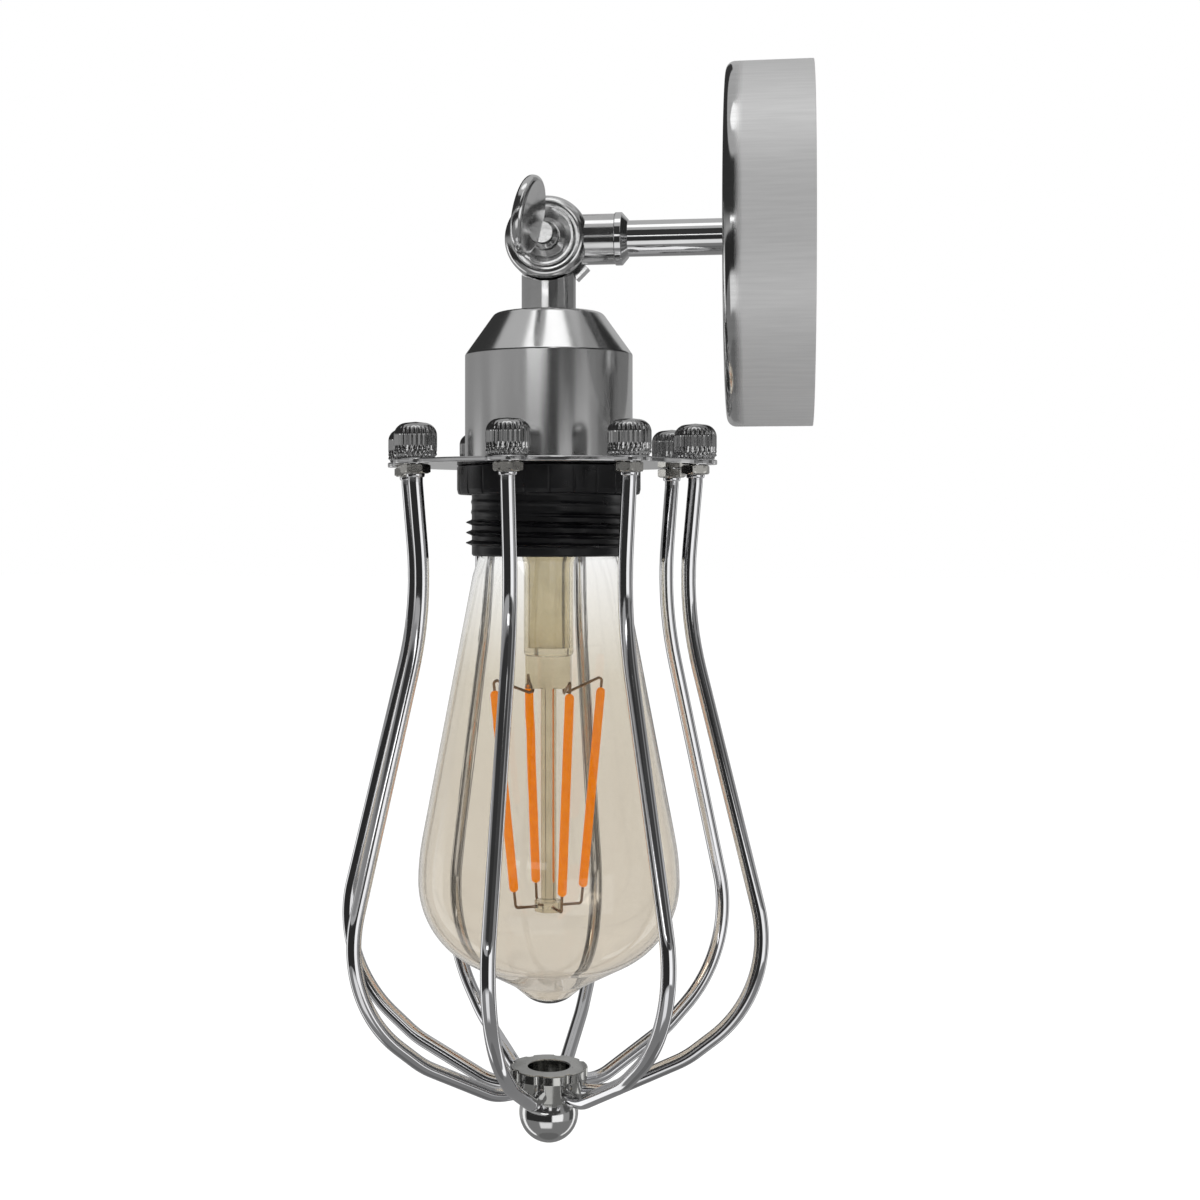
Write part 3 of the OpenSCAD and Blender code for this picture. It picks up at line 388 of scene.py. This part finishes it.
cap_metal = metal("cap_metal", (0.68, 0.68, 0.68), (0.78, 0.78, 0.78), (0.2, 0.32))

# the rose: satin with fine lines along its depth, and a polished front edge
p = Paint("satin_chrome")
grain = p.noise(1400, 3, (1, 0.05, 1))
polished = p.span(p.place("Y"), 1.0, 0.0, -0.0180, -0.0160)
p.colour(p.ramp(grain, [(0.3, (0.64, 0.64, 0.64)), (0.7, (0.70, 0.70, 0.70))]))
p.link(p.span(polished, 0.50, 0.10), p.shader.inputs["Roughness"])
p.link(p.span(polished, 0.62, 1.0), p.shader.inputs["Metallic"])
satin = p.bump(grain, 0.02).material


def plastic(name, dark, light, rough, **values):
    p = Paint(name, **values)
    p.colour(p.ramp(p.noise(80, 5), [(0.35, dark), (0.65, light)]))
    p.rough(p.noise(300), *rough)
    return p.bump(p.noise(700), 0.1).material


black = plastic("black_plastic", (0.003, 0.003, 0.004), (0.008, 0.008, 0.009), (0.26, 0.40), Specular_IOR_Level=0.32)
white_plastic = plastic("white_plastic", (0.72, 0.71, 0.67), (0.8, 0.79, 0.76), (0.35, 0.5))
porcelain = plastic("porcelain", (0.80, 0.79, 0.75), (0.86, 0.85, 0.82), (0.12, 0.22))
sheath = plastic("wire_sheath", (0.12, 0.06, 0.03), (0.18, 0.09, 0.05), (0.4, 0.55))
black_glass = plastic("black_glass", (0.02, 0.015, 0.025), (0.035, 0.025, 0.04), (0.08, 0.15))
wire = metal("support_wire", (0.16, 0.09, 0.05), (0.36, 0.24, 0.14), (0.3, 0.5))

# the filament: orange, with a painted glow, as its emission makes it shine though the bulb is not lit
p = Paint("filament", Roughness=0.4, Specular_IOR_Level=0.1, Emission_Color=(1.0, 0.31, 0.0, 1),
          Emission_Strength=0.45)
p.colour(p.ramp(p.noise(500, 2), [(0.3, (0.85, 0.17, 0.0)), (0.7, (0.98, 0.26, 0.0))]))
filament = p.bump(p.noise(900, 2), 0.1).material

# the bulb: amber at its tip, clear at its neck
p = Paint("amber_glass", Roughness=0.0, IOR=1.45, Transmission_Weight=1.0)
p.colour(p.ramp(p.span(p.place("Z"), 0, 1, -0.19, -0.075),
                [(0.0, (0.80, 0.757, 0.69)), (0.55, (0.79, 0.75, 0.68)), (0.74, (0.81, 0.775, 0.705)),
                 (0.88, (0.91, 0.895, 0.86)), (1.0, (0.985, 0.985, 0.98))]))
amber_glass = p.bump(p.noise(30, 2), 0.02, 0.0005).material

p = Paint("stem_glass", Roughness=0.0, IOR=1.47, Transmission_Weight=1.0)
p.colour(p.ramp(p.noise(80, 2), [(0.3, (0.60, 0.55, 0.42)), (0.7, (0.80, 0.75, 0.61))]))
stem_glass = p.bump(p.noise(260, 3), 0.06, 0.0003).material


# ---- Wall end ----

def stem_hole(t, r, z):
    """The hole for the stem, a little above the rose's centre."""
    if r > HOLE_FIELD_R:
        return r, z
    edge = RISE * math.sin(t) + math.sqrt(STEM_HOLE_R ** 2 - (RISE * math.cos(t)) ** 2)
    return edge + (r - STEM_HOLE_R) * (HOLE_FIELD_R - edge) / (HOLE_FIELD_R - STEM_HOLE_R), z


level_r, inner_r, inner_depth = HOLE_FIELD_R + 0.01, ROSE_R - ROSE_WALL, ROSE_DEPTH - ROSE_WALL
lathe("rose_dress",
      [[STEM_HOLE_R, ROSE_DEPTH, 0], [level_r, ROSE_DEPTH, 0], [ROSE_R, ROSE_DEPTH, ROSE_EDGE], [ROSE_R, 0, ROSE_LIP],
       [inner_r, 0, ROSE_LIP], [inner_r, inner_depth, 1.6], [level_r, inner_depth, 0], [STEM_HOLE_R, inner_depth, 0]],
      satin, "wall_body", 256, FROM_WALL, ("rose_cover",), shape=stem_hole)
lathe("stem_dress",
      [[STEM_BORE_R, STEM_START, 0], [STEM_R, STEM_START, 0.3], [STEM_R, STEM_STOP, 0], [STEM_BORE_R, STEM_STOP, 0]],
      chrome, "wall_body", 96, ALONG_STEM, ("stem_tube",))
lathe("stem_ring_dress",
      [[STEM_R + SEAT, COLLAR_START, 0], [COLLAR_R, COLLAR_START, 0.25], [COLLAR_R, COLLAR_CONE, 0.3],
       [STEM_R + 0.35, COLLAR_STOP, 0.1], [STEM_R + SEAT, COLLAR_STOP, 0]],
      chrome, "wall_body", 128, TO_WALL, ("stem_ring",))


# ---- Head ----

shoulder_z, roof_z = CUP_TOP - CUP_SHOULDER, CUP_TOP - CUP_WALL
lathe("cup_dress",
      [[CUP_HOLE_R, CUP_TOP, 0], [CUP_TOP_R, CUP_TOP, 2.0], [CUP_R, shoulder_z, 0.8], [CUP_R, CUP_END + SEAT, 0.25],
       [CUP_R - CUP_WALL, CUP_END + SEAT, 0.15], [CUP_R - CUP_WALL, shoulder_z - 0.5, 0.5],
       [CUP_TOP_R - 0.5, roof_z, 1.0], [CUP_HOLE_R, roof_z, 0]],
      cup_chrome, "head", 256, PIVOT, ("cup",))


def thread(t, r, z):
    """The skirt's outside thread: faint near the plate, full from THREAD_START down."""
    if r < SKIRT_R - 0.01 or z > PLAIN_TOP or z < PLAIN_FOOT:
        return r, z
    turn = (z - PLATE_END) / PITCH + t / TAU + 0.24
    rise = max(0.0, 1 - abs(turn % 1.0 - 0.5) / 0.27)
    full = min(1.0, max(0.14, (THREAD_START - z) / 1.2))
    fade = min(1.0, (PLAIN_TOP - z) / 1.2, (z - SKIRT_END - 2.0) / 0.8)
    return r + THREAD_DEPTH * min(1.0, rise * 1.15) * full * max(0.0, fade), z


steps, hem, skirt_seat = 110, 0.4, PLATE_END - SEAT
side = [(SKIRT_R, SKIRT_END + hem + (skirt_seat - SKIRT_END - hem) * i / steps) for i in range(steps + 1)]
skirt_profile = ([(SKIRT_BORE_R + 0.5, SKIRT_END), (SKIRT_R - hem, SKIRT_END)] + side
                 + [(SKIRT_NECK_R, skirt_seat), (SKIRT_NECK_R, SKIRT_TOP), (SKIRT_NECK_BORE_R, SKIRT_TOP),
                    (SKIRT_NECK_BORE_R, PLATE_END), (SKIRT_BORE_R, PLATE_END - 3), (SKIRT_BORE_R, SKIRT_END + 1.5)])
verts, faces = spin(skirt_profile, 192, thread)
put("skirt_dress", verts, faces, black, "head", 50, ("holder_skirt",), PIVOT)


def ring_grooves(t, r, z):
    """Narrow upright grooves in the ring's side, up to a plain band at its top."""
    if r < RING_R - 0.4 or z > PLAIN_TOP:
        return r, z
    q = (t / TAU * RING_GROOVES) % 1.0
    d = abs(q - 0.5) * TAU * RING_R / RING_GROOVES
    return r - GROOVE_DEPTH * max(0.0, 1 - (d / 0.3) ** 2), z


ring_bore_r, ring_top, ring_end = CREST_R + 0.05, PLATE_END - 0.1, PLATE_END - RING_H
lathe("shade_ring_dress",
      [[ring_bore_r, ring_end, 0.2], [RING_R - 0.3, ring_end, 0.5], [RING_R, ring_end + 1.2, 0],
       [RING_R, ring_top, 0.3], [ring_bore_r, ring_top, 0]],
      black, "ring", 768, PIVOT, ("shade_ring",), 30, ring_grooves)

# ---- Cage ----

def lobes(t, r, z):
    """The plate's edge: a round disc with a lobe at every screw."""
    if r < PLATE_WALK_R:
        return r, z
    inset = PLATE_R - r
    a = (math.degrees(t) - PHASE) % SECTOR
    a = math.radians(min(a, SECTOR - a))
    edge = DISC_R
    s = SCREW_R * math.sin(a)
    if s < LOBE_R:
        edge = max(edge, SCREW_R * math.cos(a) + math.sqrt(LOBE_R ** 2 - s ** 2))
    return edge - inset, z


plate_hole_r, plate_top = SKIRT_NECK_R + SEAT, PLATE_TOP - 0.01
lathe("plate_dress",
      [[plate_hole_r, PLATE_END, 0], [PLATE_R, PLATE_END, 0.2], [PLATE_R, plate_top, 0.35],
       [plate_hole_r, plate_top, 0]],
      chrome, "head", 1024, PIVOT, ("cage_plate",), 30, lobes)


def knurl(t, r, z):
    """Straight flutes on the side of a thumb nut, with a crossed band at its foot."""
    if r < 4.2 or z < 0.3:
        return r, z
    fade = min(1.0, max(0.0, (7.6 - z) / 1.2))
    wave = 0.5 - 0.5 * math.cos(FLUTES * t)
    cut = FLUTE_DEPTH * wave * fade
    if z < BAND_TOP:
        a = 0.5 - 0.5 * math.cos(FLUTES * t + z * BAND_SLOPE)
        b = 0.5 - 0.5 * math.cos(FLUTES * t - z * BAND_SLOPE)
        blend = min(1.0, (BAND_TOP - z) / 0.5)
        cut = cut * (1 - blend) + BAND_DEPTH * max(a, b) * blend
    return r - cut, z


nut_profile = rounded([[NUT_BORE_R, 0.1, 0], [NUT_R - 0.55, 0.1, 0.2], [NUT_R, 0.9, 0.3], [NUT_R, NUT_H - 0.6, 3.0],
                       [0, NUT_H, 0], [0, NUT_H - 1.9, 0], [NUT_BORE_R, NUT_H - 1.9, 0]], 6)
nut_mesh = spin(finer(nut_profile, 0.3), FLUTES * 10, knurl)
for i in range(RODS):
    put(f"thumb_nut_dress_{i + 1}", *nut_mesh, gunmetal, f"nut_{i + 1}", 40, (f"thumb_nut_{i + 1}",),
        at_rod(i, SCREW_R, PLATE_TOP))


def hexagon(t, r, z):
    """A turned nut cut to a hexagon, so that its corners are chamfered."""
    if r < 2:
        return r, z
    a = (math.degrees(t) + 30) % 60 - 30
    return min(r, HEX_FLAT / math.cos(math.radians(a))), z


hex_profile = [(HEX_BORE_R, 0.0), (3.0, 0.0), (HEX_R, HEX_CHAMFER), (HEX_R, HEX_H - HEX_CHAMFER), (3.0, HEX_H),
               (HEX_BORE_R, HEX_H)]
hex_part = spin(finer(hex_profile, 0.5), 96, hexagon)
put("hex_nut_set", *join([moved(hex_part, at_rod(i, SCREW_R, ROD_TOP)) for i in range(RODS)]),
    nut_steel, "basket", 30, ("hex_nuts",))

ROD_PATH = [[[SCREW_R, 0, ROD_TOP], 0], [[SCREW_R, 0, ROD_TOP - 2.2], 8], [[33.68, 0, -89.9], 90],
            [[56.2, 0, ROD_FOOT + 27.9], 32], [[34.3, 0, ROD_FOOT + 9.8], 25], [[14.95, 0, ROD_FOOT], 12],
            [[6.4, 0, ROD_FOOT], 0]]
rod_tube = tube(bent_path(ROD_PATH), ROD_R, 32)
stud = spin(rounded([[1.6, -STUD_COLLAR_H, 0], [STUD_COLLAR_R - 0.15, -STUD_COLLAR_H, 0.2],
                     [STUD_COLLAR_R, -0.2, 0.15], [STUD_COLLAR_R - 0.15, 0, 0], [STUD_R, 0, 0], [STUD_R, STUD_H, 0],
                     [0, STUD_H, 0], [0, -STUD_COLLAR_H, 0]]), 48)
rod_part = join([rod_tube, moved(stud, Matrix.Translation((SCREW_R, 0, ROD_TOP)))])
for i in range(RODS):
    put(f"rod_dress_{i + 1}", *rod_part, rod_chrome, "basket", 40, (f"rod_{i + 1}",), at_rod(i))


def hub_flutes(t, r, z):
    """A round flute in the hub's side over every rod."""
    if r < HUB_BORE_R + 1.5:
        return r, z
    a = (math.degrees(t) - PHASE + SECTOR / 2) % SECTOR - SECTOR / 2
    d = abs(math.radians(a)) * HUB_R
    return r - HUB_FLUTE * max(0.0, 1 - (d / 1.1) ** 2) ** 0.5, z


lathe("hub_dress",
      [[HUB_BORE_R, HUB_END, 0], [HUB_R - 1.3, HUB_END, 0.5], [HUB_R, HUB_TOP - 2.2, 0.6], [HUB_R, HUB_TOP, 0.3],
       [HUB_BORE_R, HUB_TOP, 0.3]],
      hub_chrome, "basket", 512, PIVOT, ("cage_hub",), 40, hub_flutes, fine=0.7)
steps = 48
top = math.degrees(math.acos((HUB_END - BALL_Z) / BALL_R))
ball_profile = [(BALL_R * math.sin(math.radians(a)), BALL_Z + BALL_R * math.cos(math.radians(a)))
                for a in [top + (180 - top) * k / steps for k in range(steps + 1)]]
ball_profile[-1] = (0, BALL_Z - BALL_R)
peg_top = HUB_END + BALL_PEG_H
verts, faces = spin([(0, peg_top), (BALL_PEG_R, peg_top), (BALL_PEG_R, HUB_END)] + ball_profile, 96)
put("ball_dress", verts, faces, ball_chrome, "basket", 35, ("ball_finial",), PIVOT)

# ---- Bulb ----

def bulb_outline(inset):
    """The bulb's side from the cap down to the tip, as [r, z, corner radius], moved inwards by inset."""
    shoulder = SKIRT_END - 5
    side_r, neck_r = BULB_R - inset, 12.5 - inset
    return [[neck_r, CAP_END + 2.4, 0], [neck_r, CAP_END - 0.6, 2], [17.0 - inset, SKIRT_END + 0.6, 5],
            [side_r - (shoulder - WIDE_Z) * math.tan(CONE), shoulder, 14],
            [side_r, WIDE_Z + (CONE_R - inset) * math.tan(CONE / 2), 54.9 - inset],
            [side_r, WIDE_Z - (BELLY_R - inset) * math.tan(TIP / 2), BELLY_R - inset],
            [NUB_R, BULB_TIP + NUB_H + inset, 10 + inset],
            [NUB_R - NUB_H * math.tan(NUB), BULB_TIP + inset, 8 - inset], [0, BULB_TIP + inset, 0]]


outer = rounded(bulb_outline(0), 3, closed=False)
inner = rounded(bulb_outline(GLASS_WALL), 3, closed=False)
verts, faces = spin(outer + inner[::-1], 160)
put("bulb_glass_dress", verts, faces, amber_glass, "bulb", 60, ("bulb_glass",), PIVOT)

lean = math.asin((FILAMENT_TOP_R - FILAMENT_FOOT_R) / FILAMENT_LEN)
end_r = FILAMENT_R - 0.05
strip = spin(rounded([[0, 0, 0], [FILAMENT_R, 0, end_r], [FILAMENT_R, FILAMENT_LEN, end_r],
                      [0, FILAMENT_LEN, 0]], 15), 32)
strips = [moved(strip, PIVOT @ Matrix.Rotation(math.radians(FILAMENT_PHASE + 360 * k / FILAMENTS), 4, "Z")
                @ Matrix.Translation((FILAMENT_FOOT_R, 0, FILAMENT_FOOT)) @ Matrix.Rotation(lean, 4, "Y"))
          for k in range(FILAMENTS)]
put("filament_dress", *join(strips), filament, "bulb", 40, ("bulb_filaments",))

# ---- The CAD pieces that are shown as they are ----

CAD_LOOKS = {
    zinc: ("wall_strap", "grub_screws", "stem_washer", "terminal_screws", "nipple", "nipple_nut", "holder_screws"),
    brass: ("stem_nut", "terminal_tubes", "earth_screw", "screw_shell", "centre_contact"),
    knuckle_chrome: ("knuckle_fixed", "knuckle_tilting", "dished_washer", "thumb_screw"),
    sheath: ("stem_wires", "head_wires"), white_plastic: ("terminal_block",), black: ("holder_dome",),
    porcelain: ("holder_insert",), cap_metal: ("bulb_cap",), black_glass: ("bulb_contact",),
    stem_glass: ("bulb_stem",), wire: ("bulb_supports",)}
for material, names in CAD_LOOKS.items():
    for name in names:
        mesh = NODES[name].data
        mesh.materials.clear()
        mesh.materials.append(material)


# ---- Floor, light and background ----

FLOOR_Z, FLOOR_HALF, FLOOR_LIFT = -0.42, 12.0, 0.06     # in metres; the lift is the floor's own light to the camera


def floor():
    """A white floor that keeps the shadow, and that the metal doesn't reflect."""
    mesh = bpy.data.meshes.new("floor")
    z, s = FLOOR_Z, FLOOR_HALF
    mesh.from_pydata([(-s, -s, z), (s, -s, z), (s, s, z), (-s, s, z)], [], [[0, 1, 2, 3]])
    obj = bpy.data.objects.new("floor", mesh)
    bpy.context.scene.collection.objects.link(obj)
    m = bpy.data.materials.new("floor")
    m.use_nodes = True
    t = m.node_tree
    shader = t.nodes["Principled BSDF"]
    shader.inputs["Base Color"].default_value = (1.0, 1.0, 1.0, 1)
    shader.inputs["Roughness"].default_value = 1.0
    shader.inputs["Specular IOR Level"].default_value = 0.0
    clear = t.nodes.new("ShaderNodeBsdfTransparent")
    mix = t.nodes.new("ShaderNodeMixShader")
    path = t.nodes.new("ShaderNodeLightPath")
    lift = t.nodes.new("ShaderNodeMath")
    lift.operation = "MULTIPLY"
    lift.inputs[1].default_value = FLOOR_LIFT
    t.links.new(path.outputs["Is Camera Ray"], lift.inputs[0])
    t.links.new(lift.outputs[0], shader.inputs["Emission Strength"])
    t.links.new(path.outputs["Is Glossy Ray"], mix.inputs["Fac"])
    t.links.new(shader.outputs["BSDF"], mix.inputs[1])
    t.links.new(clear.outputs["BSDF"], mix.inputs[2])
    t.links.new(mix.outputs["Shader"], t.nodes["Material Output"].inputs["Surface"])
    mesh.materials.append(m)


floor()

world = bpy.data.worlds.new("studio")
bpy.context.scene.world = world
world.use_nodes = True
W = world.node_tree
W.nodes.clear()


def wnode(kind, inputs=(), **values):
    """A node of the world, with each of its inputs in turn linked or set."""
    node = W.nodes.new(kind)
    for key, value in values.items():
        setattr(node, key, value)
    for k, v in enumerate(inputs):
        if isinstance(v, bpy.types.NodeSocket):
            W.links.new(v, node.inputs[k])
        elif v is not None:
            node.inputs[k].default_value = v
    return node


def wmath(op, a, b=None):
    return wnode("ShaderNodeMath", [a, b], operation=op).outputs[0]


direction = wnode("ShaderNodeTexCoord").outputs["Generated"]


def along(v):
    """The share of the ray's direction along v."""
    return wnode("ShaderNodeVectorMath", [direction, tuple(v)], operation="DOT_PRODUCT").outputs["Value"]


front, right, up = along(to_cam), along(to_right), along((0, 0, 1))
DEGREES = 180 / math.pi
azimuth = wmath("MULTIPLY", wmath("ARCTAN2", right, front), DEGREES)    # 0 towards the viewpoint, + to its right
elevation = wmath("MULTIPLY", wmath("ARCSINE", up), DEGREES)


def between(value, low, high, soft):
    """1 between low and high, falling off over soft degrees outside."""
    a = wnode("ShaderNodeMapRange", [value, float(low - soft), float(low), 0.0, 1.0]).outputs[0]
    b = wnode("ShaderNodeMapRange", [value, float(high), float(high + soft), 1.0, 0.0]).outputs[0]
    return wmath("MULTIPLY", a, b)


# The room as the metal sees it: a grey level, with panels laid over it. Each panel is (azimuth from, to, soft
# edge), (elevation from, to, soft edge), brightness.
PANELS = [
    ((-181, 181, 1), (-90, -66, 4), 0.16),
    ((-181, 181, 1), (-66, -24, 3), 0.23),       # the table
    ((-36, 10, 6), (-45, -27, 5), 0.9),          # its lit front
    ((-181, 181, 1), (-22, 1.2, 1.2), 0.32),     # a low band round the lamp, which the upright rods see
    ((-180, -104, 6), (-22, 1.2, 1.2), 0.36),
    ((-96, 10, 4), (-22, 1.2, 1.2), 0.03),
    ((14, 54, 4), (-22, 1.2, 1.2), 1.15),
    ((88, 106, 5), (-22, 1.2, 1.2), 0.09),
    ((-180, -24, 14), (1.8, 6.2, 0.4), 0.42),    # a band above it, which the cup sees
    ((-181, -100, 20), (1.8, 6.2, 0.4), 0.29),
    ((-8, 34, 6), (1.8, 6.2, 0.4), 0.05),
    ((38, 64, 6), (1.8, 6.2, 0.4), 0.25),
    ((70, 90, 5), (1.8, 6.2, 0.4), 0.09),
    ((94, 180, 4), (1.8, 6.2, 0.4), 0.38),
    ((-181, 181, 1), (6.8, 11, 1), 0.28),        # the room, dark behind the camera
    ((-180, 6, 4), (12, 46, 3), 0.04),
    ((12, 140, 5), (12, 46, 3), 0.25),
    ((-4, 45, 3), (6.8, 30, 0.6), 0.06),
    ((66, 91, 5), (6.8, 30, 0.6), 0.09),
    ((-30, -4, 2), (6.6, 9.0, 0.3), 2.0),        # the end of a softbox
    ((1, 10, 2), (22, 62, 3), 1.0),
    ((-70, 62, 6), (68, 90, 3), 1.35),           # overhead softbox
    ((66, 75, 2), (60, 80, 3), 0.25),
    ((-122, -108, 3), (-60, -1, 4), 1.2),        # two tall strips, one on each side
    ((112, 122, 3), (-60, -1, 4), 1.2)]
level = wnode("ShaderNodeMapRange", [elevation, -90.0, 90.0, 0.42, 0.5]).outputs[0]
for (a0, a1, a_soft), (e0, e1, e_soft), value in PANELS:
    mask = wmath("MULTIPLY", between(azimuth, a0, a1, a_soft), between(elevation, e0, e1, e_soft))
    level = wmath("ADD", wmath("MULTIPLY", level, wmath("SUBTRACT", 1.0, mask)), wmath("MULTIPLY", mask, value))

# white for the camera, through glass and as soft light; the panels only for reflections
paths = wnode("ShaderNodeLightPath")
seen = wmath("MAXIMUM", paths.outputs["Is Camera Ray"], paths.outputs["Is Transmission Ray"])
soft_light = wmath("MAXIMUM", seen, paths.outputs["Is Diffuse Ray"])
strength = wmath("ADD", wmath("MULTIPLY", level, wmath("SUBTRACT", 1.0, soft_light)), soft_light)
background = wnode("ShaderNodeBackground")
W.links.new(strength, background.inputs["Strength"])
background.inputs["Color"].default_value = (1, 1, 1, 1)
W.links.new(background.outputs[0], wnode("ShaderNodeOutputWorld").inputs["Surface"])


def area(name, place, target, size, power):
    """A rectangular light at place that points at target."""
    light = bpy.data.lights.new(name, "AREA")
    light.shape = "RECTANGLE"
    light.size, light.size_y = size
    light.energy = power
    obj = bpy.data.objects.new(name, light)
    bpy.context.scene.collection.objects.link(obj)
    obj.location = place
    obj.rotation_euler = (Vector(place) - Vector(target)).to_track_quat("Z", "Y").to_euler()
    return obj


key = area("key_light", (0.9, -0.9, 0.9), (0, -0.06, -0.1), (0.5, 0.5), 3)
key.visible_glossy = False

bpy.context.scene.view_settings.view_transform = "Standard"
bpy.context.scene.view_settings.look = "None"
